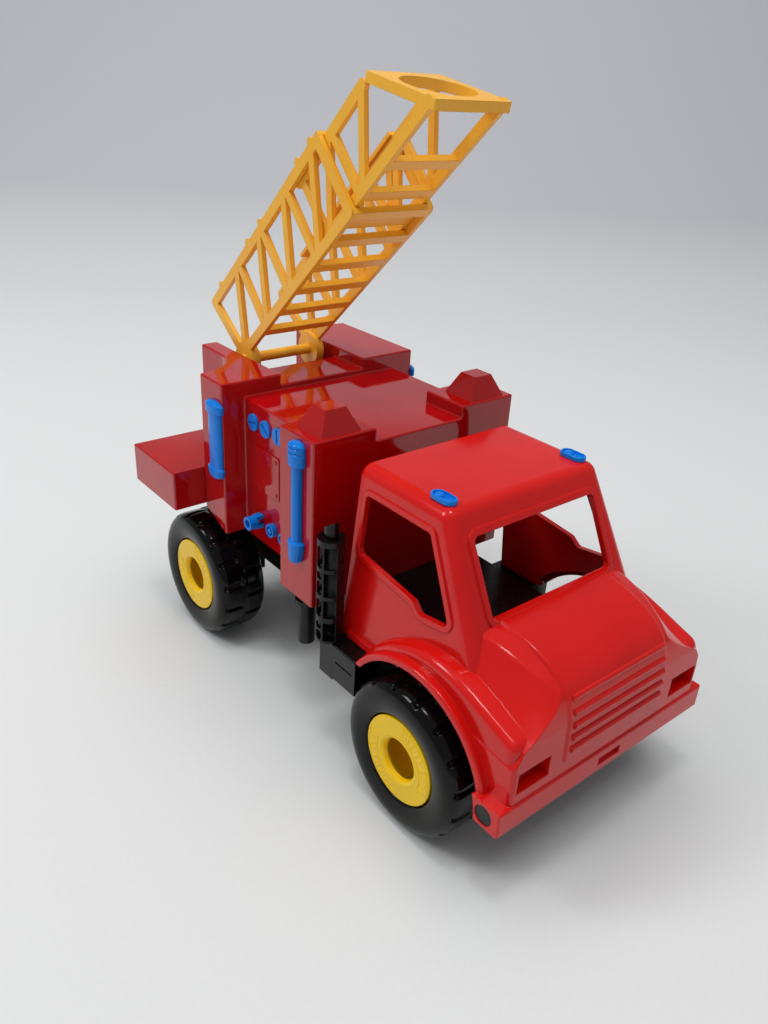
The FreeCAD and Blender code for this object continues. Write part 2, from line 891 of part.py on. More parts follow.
def bumper():
    """The bumper bar across the nose, open at the back, with a lug at each end."""
    bar = box(lug_rear, bumper_front, -bumper_half_width, bumper_half_width, bumper_low_z, bumper_top_z)
    front_edges = [edge for edge in bar.Edges if edge.BoundBox.XMin > bumper_front - lap]
    bar = bar.makeFillet(bumper_round, front_edges)
    inner_half = nose_half_width - wall
    hollow = box(lug_rear - past, bumper_front - wall, -inner_half, inner_half, 0, far)
    corner = box(lug_rear - past, lug_rear + lug_round, -far, far,
                 bumper_low_z - past, bumper_low_z + lug_round)
    heel = cross_rod(lug_rear + lug_round, bumper_low_z + lug_round, lug_round, -far, far)
    recess = box(bumper_front - plate_recess_depth, bumper_front + past,
                 -plate_recess_half, plate_recess_half,
                 bumper_low_z + plate_recess_low, bumper_low_z + plate_recess_high)
    return bar.cut([hollow, corner.cut(heel), recess])


def arch_ring(y0, y1):
    """A half ring round a front wheel, its outer edges rounded."""
    outer_r = arch_r + arch_lip
    disc = cross_rod(0, tyre_r, outer_r, y0, y1)
    disc = disc.makeFillet(arch_lip_round, [edge for edge in disc.Edges if edge.BoundBox.YMin > y1 - lap])
    ring = disc.cut(cross_rod(0, tyre_r, arch_r, y0 - past, y1 + past))
    rear_keep = box(-far, 0, y0 - past, y1 + past, cab_low_z, far)
    front_keep = box(0, far, y0 - past, y1 + past, bumper_top_z, far)
    return ring.common(rear_keep.fuse(front_keep))


def lamp_recesses(grow):
    """Both headlamp recesses as blocks, grown by a wall for their housings."""
    blocks = []
    for side in (-1, 1):
        y0, y1 = sorted((side * (lamp_inner_y - grow), side * (lamp_outer_y + grow)))
        front = nose_x + past if grow == 0 else nose_x - wall / 2
        blocks.append(box(nose_x - lamp_depth - grow, front, y0, y1, lamp_low_z - grow, lamp_top_z + grow))
    return blocks


def cab_shell():
    """The whole cab moulding: thin walls, windows, wheel arches, grille and bumper."""
    outer = fused([greenhouse(0), hood(0), fender(0), hood_panel()])
    inner = fused([greenhouse(wall), hood(wall), fender(wall)])
    shell = outer.cut(inner)
    lip = arch_ring(fender_half_width - wall, arch_lip_y)
    extras = window_rims() + sills() + [lip, mirrored(lip), bumper()] + grille() + lamp_recesses(wall)
    shell = fused([shell] + extras)
    well = cross_rod(0, tyre_r, arch_r, -far, far)
    bore = cross_rod(pivot_x, pivot_z, pivot_r + pivot_gap, -far, far)
    return shell.cut([window_tool(0), well, bore] + lamp_recesses(0))


def beacon():
    """A low lozenge lamp on the roof's left, with a raised centre."""
    tiers = []
    stages = ((beacon_width / 2, beacon_height / 2), (beacon_width / 2 - beacon_step, beacon_height))
    for radius, height in stages:
        reach = (beacon_length - beacon_width) / 2
        z0 = roof_z + seat_gap / 2
        ends = [upright_rod(beacon_x + dx, beacon_y, radius, z0, z0 + height) for dx in (-reach, reach)]
        middle = box(beacon_x - reach, beacon_x + reach, beacon_y - radius, beacon_y + radius,
                     z0, z0 + height)
        tiers.append(fused(ends + [middle]))
    return fused(tiers)


def build_cab():
    """The tilting cab and its two roof lamps."""
    export("cab_shell", cab_shell())
    lamp = beacon()
    export("roof_lamps", lamp, mirrored(lamp))


# Body moulding

def rear_section(inset):
    """The rear block's side outline, slanted up over the wheel."""
    drop = open_below * inset
    front = rear_block_front - inset
    rear = body_rear + inset
    outline = polygon_xz([
        (front, rear_low_z - drop),
        (front, rear_top_z - inset),
        (rear, rear_top_z - inset),
        (rear, wheel_clear_z - drop),
        (wheel_clear_x, wheel_clear_z - drop),
    ])
    half = block_half_width - inset
    return side_prism(outline, -half, half)


def body_solid(inset):
    """The three blocks of the body, each moved in by an inset and open below."""
    drop = open_below * inset
    overlap = open_below * inset / 2
    front = body_front - inset
    rear = front_block_rear + inset
    side = side_half_width - inset
    half = block_half_width - inset
    middle = box(rear_block_front - overlap, front_block_rear + overlap, -side, side,
                 side_low_z - drop, main_top_z - inset)
    block = box(rear, front, -half, half, block_low_z - drop, main_top_z - inset)
    corner = box(rear, front, channel_half_width + inset, half, block_low_z - drop, corner_top_z - inset)
    return fused([middle, block, corner, mirrored(corner), rear_section(inset)])


def alcove(grow):
    """The rounded corner cut out of the rear block, grown by a wall when taken from the hollow."""
    y = -alcove_wall_y + grow
    r = alcove_r + grow
    centre_x = alcove_post_x - alcove_r
    centre_y = -alcove_wall_y - alcove_r
    bend = math.sqrt(0.5) * r
    wall_end = V(centre_x, y, 0)
    post = V(centre_x + r, centre_y, 0)
    arc = Part.Arc(wall_end, V(centre_x + bend, centre_y + bend, 0), post).toShape()
    outline = Part.Wire([
        Part.makeLine(V(-far, y, 0), wall_end),
        arc,
        Part.makeLine(post, V(post.x, -far, 0)),
        Part.makeLine(V(post.x, -far, 0), V(-far, -far, 0)),
        Part.makeLine(V(-far, -far, 0), V(-far, y, 0)),
    ])
    return Part.Face(outline).extrude(V(0, 0, far))


def channel(grow):
    """The ladder's way through the rear block: a shallow channel and the hinge slot behind it."""
    half = channel_half_width + grow
    shallow = box(slot_front - wall, body_front, -half, half, channel_floor_z - grow, far)
    slot = box(-far, slot_front + grow, -half, half, slot_floor_z - grow, far)
    return shallow.fuse(slot)


def corner_lump(side):
    """A truncated pyramid on a front corner block."""
    def outline(length, depth, z):
        x = lump_x - length / 2
        y = side * lump_y - depth / 2
        points = [V(x, y, z), V(x + length, y, z), V(x + length, y + depth, z), V(x, y + depth, z)]
        return Part.makePolygon(points + [points[0]])
    low = outline(lump_base, lump_base_y, corner_top_z - lap)
    high = outline(lump_top, lump_top_y, corner_top_z + lump_height)
    return Part.makeLoft([low, high], True)


def access_panel():
    """A slightly raised cover on the recessed side, with a rivet head at each corner."""
    x0 = panel_x - panel_length / 2
    z0 = panel_z - panel_height / 2
    y0 = side_half_width - lap
    y1 = side_half_width + panel_raise
    plate = softened(box(x0, x0 + panel_length, y0, y1, z0, z0 + panel_height), panel_corner, Y_DIR)
    rivets = []
    for dx in (rivet_inset, panel_length - rivet_inset):
        for dz in (rivet_inset, panel_height - rivet_inset):
            rivets.append(cross_rod(x0 + dx, z0 + dz, rivet_r, y0, y1 + rivet_raise))
    return fused([plate] + rivets)


def screw_posts():
    """Four round posts from the body's roof down to the chassis deck."""
    foot_z = deck_z + seat_gap
    posts = []
    for x, top_z in ((post_front_x, main_top_z), (post_rear_x, rear_top_z)):
        post = upright_rod(x, post_y, post_r, foot_z, top_z - wall / 2)
        posts += [post, mirrored(post)]
    return posts


def body_shell():
    """The red body moulding: thin walls, open below, with channel, alcove, lumps and panels."""
    keep_out = fused([channel(wall), alcove(wall)])
    hollow = body_solid(wall).cut(keep_out)
    outer = body_solid(0).cut([channel(0), alcove(0)]).removeSplitter()
    upper_edges = [edge for edge in outer.Edges if edge.BoundBox.ZMax > wheel_clear_z + past]
    outer = outer.makeFillet(body_round, upper_edges)
    shell = outer.cut(hollow)
    panel = access_panel()
    shell = fused([shell, corner_lump(-1), corner_lump(1), panel, mirrored(panel)] + screw_posts())
    deck_half = tray_half_width + seat_gap
    deck_room = box(tray_rear, 0, -deck_half, deck_half, 0, deck_z + seat_gap)
    pin_reach = channel_half_width + wall + past
    pin_hole = cross_rod(hinge_x, hinge_z, hinge_pin_r + running_gap, -pin_reach, pin_reach)
    return shell.cut([deck_room, pin_hole])


def tail_step():
    """The standing platform in the right rear corner, hollow below."""
    slab = box(step_rear, alcove_post_x, -step_outer_y, -alcove_wall_y, step_low_z, step_top_z)
    slab = slab.common(alcove(-seat_gap))
    outer_edges = [edge for edge in slab.Edges if edge.BoundBox.ZMax > step_top_z - lap
                   and (edge.BoundBox.YMax < lap - step_outer_y or edge.BoundBox.XMax < step_rear + lap)]
    slab = slab.makeFillet(body_round, outer_edges)
    pocket = box(step_rear + wall, alcove_post_x - wall, -step_outer_y + wall, -alcove_wall_y - wall,
                 step_low_z - past, step_top_z - wall)
    return slab.cut(pocket.common(alcove(-wall)))


def rail_foot(x, face_y, inner_z, outer_z):
    """A tongue on the body's face: square where the bar enters it, rounded at its far end."""
    half = rail_foot_width / 2
    y0 = face_y + seat_gap
    y1 = y0 + rail_foot_depth
    foot = box(x - half, x + half, y0, y1, min(inner_z, outer_z), max(inner_z, outer_z))
    far_end = [edge for edge in foot.Edges
               if runs_along(edge, Y_DIR) and abs(edge.BoundBox.ZMin - outer_z) < lap]
    foot = foot.makeFillet(rail_foot_round, far_end)
    return foot.makeFillet(rail_edge_round, [edge for edge in foot.Edges if edge.BoundBox.YMin > y1 - lap])


def handrail(x, face_y, low_z, top_z, bar):
    """An upright grab bar with a rounded foot at each end."""
    low_foot = rail_foot(x, face_y, low_z + rail_foot_height, low_z)
    top_foot = rail_foot(x, face_y, top_z - rail_foot_height, top_z)
    return fused([low_foot, top_foot, bar])


def long_handrail():
    """The round bar on the front block's left side."""
    centre_y = block_half_width + long_rail_r + rail_standoff
    bar = upright_rod(long_rail_x, centre_y, long_rail_r, long_rail_low_z + rail_foot_height / 2,
                      long_rail_top_z - rail_foot_height / 2)
    return handrail(long_rail_x, block_half_width, long_rail_low_z, long_rail_top_z, bar)


def short_handrail():
    """The flat bar on the rear block's left side."""
    half = short_rail_width / 2
    y0 = block_half_width + rail_standoff
    bar = box(short_rail_x - half, short_rail_x + half, y0, y0 + short_rail_depth + lap,
              short_rail_low_z + rail_foot_height / 2, short_rail_top_z - rail_foot_height / 2)
    bar = softened(bar, rail_edge_round, Z_DIR)
    return handrail(short_rail_x, block_half_width, short_rail_low_z, short_rail_top_z, bar)


def gauges():
    """Three round dials in a row high on the recessed side, each with a slot turned its own way."""
    face_y = side_half_width + gauge_raise
    half = gauge_r - past
    dials = []
    for place_no in (-1, 0, 1):
        x = gauge_x + gauge_pitch * place_no
        dial = cross_rod(x, gauge_z, gauge_r, side_half_width + seat_gap, face_y)
        slot = box(x - half, x + half, face_y - pointer_depth, face_y + past,
                   gauge_z - pointer_width / 2, gauge_z + pointer_width / 2)
        slot.rotate(V(x, 0, gauge_z), Y_DIR, pointer_angle + pointer_turn * place_no)
        dials.append(dial.cut(slot))
    return dials


def outlets():
    """A hose nozzle on an upper and a lower prong, and two ringed caps, low on the recessed side."""
    y0 = side_half_width + seat_gap
    y1 = y0 + outlet_length
    barrel = cross_rod(outlet_x, outlet_z, outlet_r, y0 + nozzle_prong_depth, y1)
    bore = cross_rod(outlet_x, outlet_z, outlet_bore_r, y0 + nozzle_prong_depth + past, y1 + past)
    half = nozzle_prong_width / 2
    inner = outlet_r - nozzle_prong_height
    prong = box(outlet_x - half, outlet_x + half, y0, y0 + nozzle_prong_depth + lap,
                outlet_z + inner, outlet_z + outlet_r - lap / 2)
    lower = prong.mirror(V(0, 0, outlet_z), Z_DIR)
    pieces = [fused([barrel.cut(bore), prong, lower])]
    for step in (1, 2):
        x = outlet_x + cap_pitch * step
        z = outlet_z - cap_drop
        cap = cross_rod(x, z, cap_r, y0, y0 + cap_length)
        ring_floor = cross_rod(x, z, cap_r - cap_ring, y0 + cap_length / 2, y0 + cap_length + past)
        knob = cross_rod(x, z, cap_r - 2 * cap_ring, y0 + lap, y0 + cap_length)
        pieces.append(fused([cap.cut(ring_floor), knob]))
    return pieces


def build_body():
    """The body, its rear step and the blue fittings on each side."""
    export("body_shell", body_shell())
    export("tail_step", tail_step())
    for name, rail in (("handrail_front", long_handrail()), ("handrail_rear", short_handrail())):
        export(name + "_left", rail)
        export(name + "_right", mirrored(rail))
    for name, pieces in (("gauges", gauges()), ("hose_outlets", outlets())):
        export(name + "_left", *pieces)
        export(name + "_right", *[mirrored(piece) for piece in pieces])


# Ladder

def ladder_point(s, n, y=0.0):
    """A point of the ladder's own plane: s along it from the hinge, n above its lower edge line."""
    return V(s, y, n)


def raised(shape):
    """A ladder piece turned up to its angle and set at the hinge."""
    turned = shape.copy()
    turned.rotate(V(0, 0, 0), Y_DIR, -ladder_angle)
    turned.translate(V(hinge_x, 0, hinge_z))
    return turned


def bar(s0, n0, s1, n1, width, y0, y1):
    """A flat bar with round ends between two points of the ladder's plane."""
    length = math.hypot(s1 - s0, n1 - n0)
    turn = math.degrees(math.atan2(n1 - n0, s1 - s0))
    piece = box(0, length, y0, y1, -width / 2, width / 2)
    piece = fused([piece, cross_rod(0, 0, width / 2, y0, y1), cross_rod(length, 0, width / 2, y0, y1)])
    piece.rotate(V(0, 0, 0), Y_DIR, -turn)
    piece.translate(ladder_point(s0, n0))
    return piece


def main_side():
    """One truss side of the main ladder: chords, posts, diagonals and the hinge ear."""
    y1 = ladder_half_width
    y0 = y1 - side_plate
    low = ladder_low_n + chord / 2
    top = ladder_top_n - chord / 2
    end = ladder_end_s - chord / 2
    pieces = [
        bar(0, low, end, low, chord, y0, y1),
        bar(ladder_heel_s + chord / 2, top, end, top, chord, y0, y1),
        bar(ladder_heel_s + chord / 2, top, 0, low, chord, y0, y1),
        bar(end, low, end, top, chord, y0, y1),
        cross_rod(0, 0, ear_r, y1 - ear_width, y1),
    ]
    for bay in range(truss_bays):
        s = truss_pitch * (bay + 1)
        pieces.append(bar(s - truss_pitch + truss_splay, low, s - truss_splay, top, web, y0, y1))
        if bay < truss_bays - 1:
            pieces.append(bar(s, low, s, top, web, y0, y1))
    for share in (0.05, 0.36, 0.49, 0.84, 0.945):
        pieces.append(cross_rod(ladder_end_s * share, ladder_top_n, nub_r, y1 - nub_width, y1))
    pieces.append(box(truss_pitch, ladder_end_s, y1 - side_plate - flange_reach, y1,
                      ladder_top_n - flange_height, ladder_top_n))
    return fused(pieces)


def ladder_main():
    """The main ladder: two truss sides, rungs, hinge bar and stub pins."""
    side = main_side()
    half = ladder_half_width - past
    pieces = [side, mirrored(side), cross_rod(0, 0, hinge_bar_r, -half, half)]
    pin = cross_rod(0, 0, hinge_pin_r, half, channel_half_width + wall)
    pieces += [pin, mirrored(pin)]
    count = int((ladder_end_s - rung_width) // rung_pitch)
    for step in range(1, count + 1):
        s = ladder_end_s - rung_width / 2 - rung_pitch * (count - step)
        pieces.append(box(s - rung_width / 2, s + rung_width / 2, -half, half,
                          ladder_low_n, ladder_low_n + rung_height))
    return raised(fused(pieces))


def fly_side():
    """One truss side of the sliding ladder."""
    y1 = ladder_half_width - side_plate - slide_gap
    y0 = y1 - fly_plate
    low_n = ladder_low_n + rung_height + slide_gap
    top_n = ladder_top_n - flange_height - slide_gap
    low = low_n + chord / 2
    top = top_n - chord / 2
    tail = fly_tail_s + chord / 2
    slope = (basket_s_low - basket_s_top) / (top_n - low_n)
    pieces = [
        bar(tail, low, basket_s_low - chord / 2 - slope * fly_plate, low, chord, y0, y1),
        bar(tail, top, basket_s_top - chord, top, chord, y0, y1),
    ]
    for bay in range(2):
        s = fly_post_s + fly_bay * bay
        pieces.append(bar(s, low, s, top, web, y0, y1))
        pieces.append(bar(s + truss_splay, low, s + fly_bay - truss_splay, top, web, y0, y1))
    return fused(pieces)


def basket_ring():
    """The level end plate with its big round hole."""
    low_n = ladder_low_n + rung_height + slide_gap
    top_n = ladder_top_n - flange_height - slide_gap
    half = ladder_half_width - side_plate - slide_gap
    ds = basket_s_low - basket_s_top
    dn = low_n - top_n
    length = math.hypot(ds, dn)
    plate = box(0, length, -half, half, -basket_plate, 0)
    plate = softened(plate, basket_corner, Z_DIR)
    hole = upright_rod(length / 2, 0, basket_hole_r, -basket_plate - past, past)
    plate = plate.cut(hole)
    plate.rotate(V(0, 0, 0), Y_DIR, -math.degrees(math.atan2(dn, ds)))
    plate.translate(ladder_point(basket_s_top, top_n))
    return plate


def ladder_extension():
    """The sliding ladder: two truss sides, rungs and the basket ring at its tip."""
    side = fly_side()
    low_n = ladder_low_n + rung_height + slide_gap
    half = ladder_half_width - side_plate - slide_gap - fly_plate / 2
    pieces = [side, mirrored(side), basket_ring()]
    count = int((fly_rung_s - fly_tail_s) // rung_pitch)
    for step in range(count + 1):
        s = fly_rung_s - rung_pitch * step
        pieces.append(box(s - rung_width / 2, s + rung_width / 2, -half, half, low_n, low_n + rung_height))
    return raised(fused(pieces))


def build_ladder():
    """Both ladder sections."""
    export("ladder_main", ladder_main())
    export("ladder_extension", ladder_extension())


os.makedirs("parts", exist_ok=True)
build_wheels()
build_axles()
build_chassis()
build_cab()
build_body()
build_ladder()
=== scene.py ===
import json
import math
import bmesh
import bpy
import numpy as np
from mathutils import Matrix, Vector


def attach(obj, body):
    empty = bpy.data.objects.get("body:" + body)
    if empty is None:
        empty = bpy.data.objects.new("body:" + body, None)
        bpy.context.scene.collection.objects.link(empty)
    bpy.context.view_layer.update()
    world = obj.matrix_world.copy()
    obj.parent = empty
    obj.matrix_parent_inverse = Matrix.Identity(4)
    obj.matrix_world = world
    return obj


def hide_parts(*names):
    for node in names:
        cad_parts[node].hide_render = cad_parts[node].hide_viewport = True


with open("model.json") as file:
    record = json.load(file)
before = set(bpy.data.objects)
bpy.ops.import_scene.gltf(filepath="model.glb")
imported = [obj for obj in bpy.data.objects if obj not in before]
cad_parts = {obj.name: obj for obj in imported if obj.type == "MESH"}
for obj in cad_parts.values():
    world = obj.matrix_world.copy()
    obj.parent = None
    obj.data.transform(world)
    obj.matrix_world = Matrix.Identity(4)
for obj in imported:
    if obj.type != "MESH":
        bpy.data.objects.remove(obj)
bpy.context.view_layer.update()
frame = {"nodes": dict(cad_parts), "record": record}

# All sizes below are in millimetres, apart from those of the studio, which are in metres.
MM = 0.001
TURN = 2 * math.pi
# The front axle's middle, at ground level, seen from the CAD frame's origin
AXLE = np.array([112.070, 5.5, 0.0])
WHEELBASE = 229.5
ENDS = (("front", 0.0), ("rear", -WHEELBASE))
SIDES = (("left", 1), ("right", -1))


# ---- Materials ----

def linear(hex_colour):
    """sRGB hex to linear RGBA: each channel c becomes ((c + 0.055) / 1.055) to the power 2.4."""
    parts = [int(hex_colour[i:i + 2], 16) / 255 for i in (1, 3, 5)]
    rgb = [c / 12.92 if c <= 0.04045 else ((c + 0.055) / 1.055) ** 2.4 for c in parts]
    return (*rgb, 1.0)


def add(tree, kind, inputs=None, **settings):
    """Adds a node. Settings are its own properties, and an input is a value or another's socket."""
    made = tree.nodes.new(kind)
    for name, value in settings.items():
        setattr(made, name, value)
    for name, value in (inputs or {}).items():
        if isinstance(value, bpy.types.NodeSocket):
            tree.links.new(value, made.inputs[name])
        else:
            made.inputs[name].default_value = value
    return made


def plain(name, constants):
    """A material with only its shader and output, and the place on the piece that noises read."""
    made = bpy.data.materials.new(name)
    made.use_nodes = True
    tree = made.node_tree
    tree.nodes.clear()
    shader = add(tree, "ShaderNodeBsdfPrincipled", constants)
    add(tree, "ShaderNodeOutputMaterial", {"Surface": shader.outputs[0]})
    place = add(tree, "ShaderNodeTexCoord").outputs["Object"]
    return made, tree, shader, place


# Moulded plastic: how far apart its colour clouds, its hazy patches and the lumps of its skin lie
CLOUDS = 40
PATCHES = 12
LUMPS = 2.2


def moulded(name, colour, shade, gloss, haze=0.1, ior=1.53, peel=0.006, edge=0.7, matt=None):
    """Injection-moulded plastic, from its resin's colour and how well its mould was polished.

    Faint flow clouds tint the colour, handling leaves hazy patches in the gloss, and orange peel,
    peel mm deep, wavers its reflections. Edges catch the light as if rounded by a radius of
    edge mm. Where a piece stores matt areas, they take the roughness matt.
    """
    made, tree, shader, place = plain(name, {"IOR": ior})
    clouds = add(tree, "ShaderNodeTexNoise",
                 {"Vector": place, "Scale": 1 / (CLOUDS * MM), "Detail": 2.0})
    tint = add(tree, "ShaderNodeMapRange",
               {"Value": clouds.outputs[0], "From Min": 0.35, "From Max": 0.65})
    resin = add(tree, "ShaderNodeMix",
                {0: tint.outputs[0], 6: linear(colour), 7: linear(shade)}, data_type="RGBA")
    tree.links.new(resin.outputs[2], shader.inputs["Base Color"])
    patches = add(tree, "ShaderNodeTexNoise",
                  {"Vector": place, "Scale": 1 / (PATCHES * MM), "Detail": 4.0, "Roughness": 0.6})
    polish = add(tree, "ShaderNodeMapRange",
                 {"Value": patches.outputs[0], "From Min": 0.38, "From Max": 0.7,
                  "To Min": gloss, "To Max": gloss + haze}).outputs[0]
    if matt is not None:
        stored = add(tree, "ShaderNodeAttribute", attribute_name="matt")
        polish = add(tree, "ShaderNodeMix",
                     {0: stored.outputs["Fac"], 2: polish, 3: matt}).outputs[0]
    tree.links.new(polish, shader.inputs["Roughness"])
    soft = add(tree, "ShaderNodeBevel", {"Radius": edge * MM}, samples=4)
    lumps = add(tree, "ShaderNodeTexNoise",
                {"Vector": place, "Scale": 1 / (LUMPS * MM), "Detail": 1.0})
    skin = add(tree, "ShaderNodeBump",
               {"Height": lumps.outputs[0], "Distance": peel * MM, "Strength": 1.0,
                "Normal": soft.outputs[0]})
    tree.links.new(skin.outputs[0], shader.inputs["Normal"])
    return made


# Drawn steel: the lines that the die leaves, from one to the next and from end to end
LINE_APART = 0.3
LINE_LENGTH = 20


def steel_rod():
    """Mild steel wire, drawn and zinc plated: a grey metal, its die lines running along the rod."""
    made, tree, shader, place = plain("Mild steel, drawn and zinc plated", {"Metallic": 1.0})
    # the rods lie along y
    stretch = (1 / LINE_APART, 1 / LINE_LENGTH, 1 / LINE_APART)
    lines = add(tree, "ShaderNodeMapping", {"Vector": place, "Scale": stretch})
    grain = add(tree, "ShaderNodeTexNoise",
                {"Vector": lines.outputs[0], "Scale": 1 / MM, "Detail": 2.0})
    tint = add(tree, "ShaderNodeMix",
               {0: grain.outputs[0], 6: linear("#8E8E8C"), 7: linear("#B2B2B0")}, data_type="RGBA")
    tree.links.new(tint.outputs[2], shader.inputs["Base Color"])
    dull = add(tree, "ShaderNodeMapRange",
               {"Value": grain.outputs[0], "To Min": 0.22, "To Max": 0.42})
    tree.links.new(dull.outputs[0], shader.inputs["Roughness"])
    return made


FINISHES = {
    # ABS from a well-polished mould: a light red with clear highlights
    "cab_plastic": moulded("ABS, bright red, gloss moulded", "#D2130E", "#CA100C", 0.13,
                           haze=0.06, ior=1.45, edge=1.0),
    # the same resin family, deeper, from a mirror-polished mould: it reflects the ladder
    "body_plastic": moulded("ABS, deep red, mirror polished mould", "#B00308", "#A80307", 0.05,
                            haze=0.05, ior=1.55, peel=0.003, edge=0.5),
    "trim_plastic": moulded("ABS, blue, gloss moulded", "#007ADC", "#0073D2", 0.16,
                            ior=1.34, edge=0.6),
    # polyolefins are softer than ABS, with less of a mirror in them
    "hub_plastic": moulded("Polyethylene, yellow, moulded", "#F8CB00", "#F3C400", 0.12,
                           haze=0.05, ior=1.38, edge=0.5),
    "ladder_plastic": moulded("Polypropylene, amber, moulded", "#F8B836", "#F6B22E", 0.27,
                              ior=1.49, edge=0.8),
    # blow moulded: a glossy tread, and a sidewall from a blasted part of the mould
    "tyre": moulded("Polyethylene, black, blow moulded", "#060606", "#080809", 0.09,
                    haze=0.05, ior=1.31, edge=0.5, matt=0.2),
    "chassis_plastic": moulded("Polypropylene, black, satin moulded", "#070707", "#0A0A0B", 0.26,
                               haze=0.1, ior=1.38, edge=0.7),
    "axle_steel": steel_rod(),
}
for entry in frame["record"]["subparts"]:
    node_mesh = frame["nodes"][entry["node"]].data
    node_mesh.materials.clear()
    node_mesh.materials.append(FINISHES[entry["material_slot"]])


# ---- Surfaces ----

def smooth(edge_low, edge_high, value):
    """Rises from 0 to 1 between two values: t * t * (3 - 2 * t), t being the share of the way."""
    t = np.clip((value - edge_low) / (edge_high - edge_low), 0, 1)
    return t * t * (3 - 2 * t)


def surface(name, points, closed_u=False, closed_v=False, shell=True):
    """A mesh from a grid of points in metres: rows run along u and columns along v.

    A shell's rows that shrink to a point are merged there, and its faces are turned outwards: its
    volume, the sum of each face's corner products over six, is made positive.
    """
    rows, columns, _ = points.shape
    index = np.arange(rows * columns).reshape(rows, columns)
    if closed_u:
        index = np.concatenate([index, index[:1]], axis=0)
    if closed_v:
        index = np.concatenate([index, index[:, :1]], axis=1)
    faces = np.stack([index[:-1, :-1], index[1:, :-1], index[1:, 1:], index[:-1, 1:]], axis=-1)
    faces = faces.reshape(-1, 4)
    a, b, c, d = (points.reshape(-1, 3)[faces[:, k]] for k in range(4))
    volume = (np.cross(a, b) * c).sum() + (np.cross(a, c) * d).sum()
    if shell and volume < 0:
        faces = faces[:, ::-1]
    mesh = bpy.data.meshes.new(name)
    mesh.vertices.add(rows * columns)
    mesh.vertices.foreach_set("co", points.reshape(-1).astype(np.float32))
    mesh.loops.add(faces.size)
    mesh.loops.foreach_set("vertex_index", faces.reshape(-1).astype(np.int32))
    mesh.polygons.add(len(faces))
    mesh.polygons.foreach_set("loop_start", np.arange(0, faces.size, 4, dtype=np.int32))
    mesh.update(calc_edges=True)
    if shell and not closed_u:
        merged = bmesh.new()
        merged.from_mesh(mesh)
        bmesh.ops.remove_doubles(merged, verts=merged.verts, dist=1e-6)
        merged.to_mesh(mesh)
        merged.free()
    mesh.shade_smooth()
    piece = bpy.data.objects.new(name, mesh)
    bpy.context.scene.collection.objects.link(piece)
    return piece


def rounded_loop(corners, samples):
    """A closed smooth line near its corners: the uniform cubic B-spline, and its outward normal."""
    corners = np.array(corners, dtype=float)
    t = np.linspace(0, len(corners), samples, endpoint=False)
    first = np.floor(t).astype(int)
    f = (t - first)[:, None]
    near = [corners[(first + k) % len(corners)] for k in range(-1, 3)]
    weights = [(1 - f) ** 3, 3 * f ** 3 - 6 * f ** 2 + 4,
               -3 * f ** 3 + 3 * f ** 2 + 3 * f + 1, f ** 3]
    slopes = [-3 * (1 - f) ** 2, 9 * f ** 2 - 12 * f, -9 * f ** 2 + 6 * f + 3, 3 * f ** 2]
    line = sum(w * n for w, n in zip(weights, near)) / 6
    along = sum(s * n for s, n in zip(slopes, near)) / 6
    normal = np.stack([along[:, 1], -along[:, 0]], axis=1)
    return line, normal / np.linalg.norm(normal, axis=1, keepdims=True)


# ---- Wheels ----

TYRE_R = 45.0
# from the truck's middle to the tyre's middle
TYRE_MID = 72.0
# Half of the tyre's section: the corners of its smooth line, as way across from the tyre's middle
# and radius
TYRE_HALF = [
    (0.0, 25.62), (8.0, 25.62), (12.6, 25.62),                  # the bore, round the hub
    (13.9, 26.0), (14.5, 26.7), (15.6, 26.8), (16.4, 27.6),     # the lip beside the hub
    (17.2, 30.0), (17.9, 33.4), (18.1, 37.0), (17.3, 40.9),     # the sidewall
    (14.4, 44.3), (10.5, 45.0), (5.0, 44.98), (0.0, 44.98)]     # the shoulder and the crown
# The tread, past a radius of TREAD_R: grooves on each side of a shallow band. Here and below, a
# pair gives the two distances between which a form rises or fades.
LUGS = 16
TREAD_R = 40
GROOVE_DEPTH = 2.0
GROOVE_HALF = np.radians([1.2, 2.9])
GROOVE_INNER = (1.2, 2.4)
GROOVE_OUTER = (14.4, 15.6)
BAND_DEPTH = 0.5
BAND_HALF = (1.0, 1.7)
# the radii between which the sidewall is matt
MATT_INNER = (33.0, 35.5)
MATT_OUTER = (42.0, 43.6)
# Grid sizes: a groove's slope spans two rows, and the tightest bend five columns
TYRE_ROUND = 480
TYRE_SECTION = 132


def tyre_grid():
    """One tyre as a grid round its axle: rows turn with the angle, columns go round the section.

    The section is a rounded loop: crown, rolled shoulder, bulging sidewall, and a lip curled in
    beside the hub. Each point then moves inwards along its own normal by the grooves' depth, which
    is the product of a soft slot in angle, repeated for each lug and shifted half a pitch between
    the two rows, and of a window over each row of lugs. A shallow band parts the rows.
    """
    corners = TYRE_HALF + [(-y, r) for y, r in TYRE_HALF[-2:0:-1]]
    line, normal = rounded_loop(corners, TYRE_SECTION)
    across, radius = line[:, 0], line[:, 1]
    tread = radius > TREAD_R
    turn = np.linspace(0, TURN, TYRE_ROUND, endpoint=False)[:, None]
    pitch = TURN / LUGS
    shifted = turn + np.where(across > 0, 0.5, 0.0) * pitch
    from_slot = np.abs((shifted + pitch / 2) % pitch - pitch / 2)
    slot = 1 - smooth(*GROOVE_HALF, from_slot)
    window = smooth(*GROOVE_INNER, np.abs(across)) * (1 - smooth(*GROOVE_OUTER, np.abs(across)))
    band = 1 - smooth(*BAND_HALF, np.abs(across))
    depth = (GROOVE_DEPTH * slot * window + BAND_DEPTH * band) * tread
    across = across - depth * normal[:, 0]
    radius = radius - depth * normal[:, 1]
    matt = smooth(*MATT_INNER, line[:, 1]) * (1 - smooth(*MATT_OUTER, line[:, 1]))
    return turn, across, radius, matt * np.ones_like(turn)


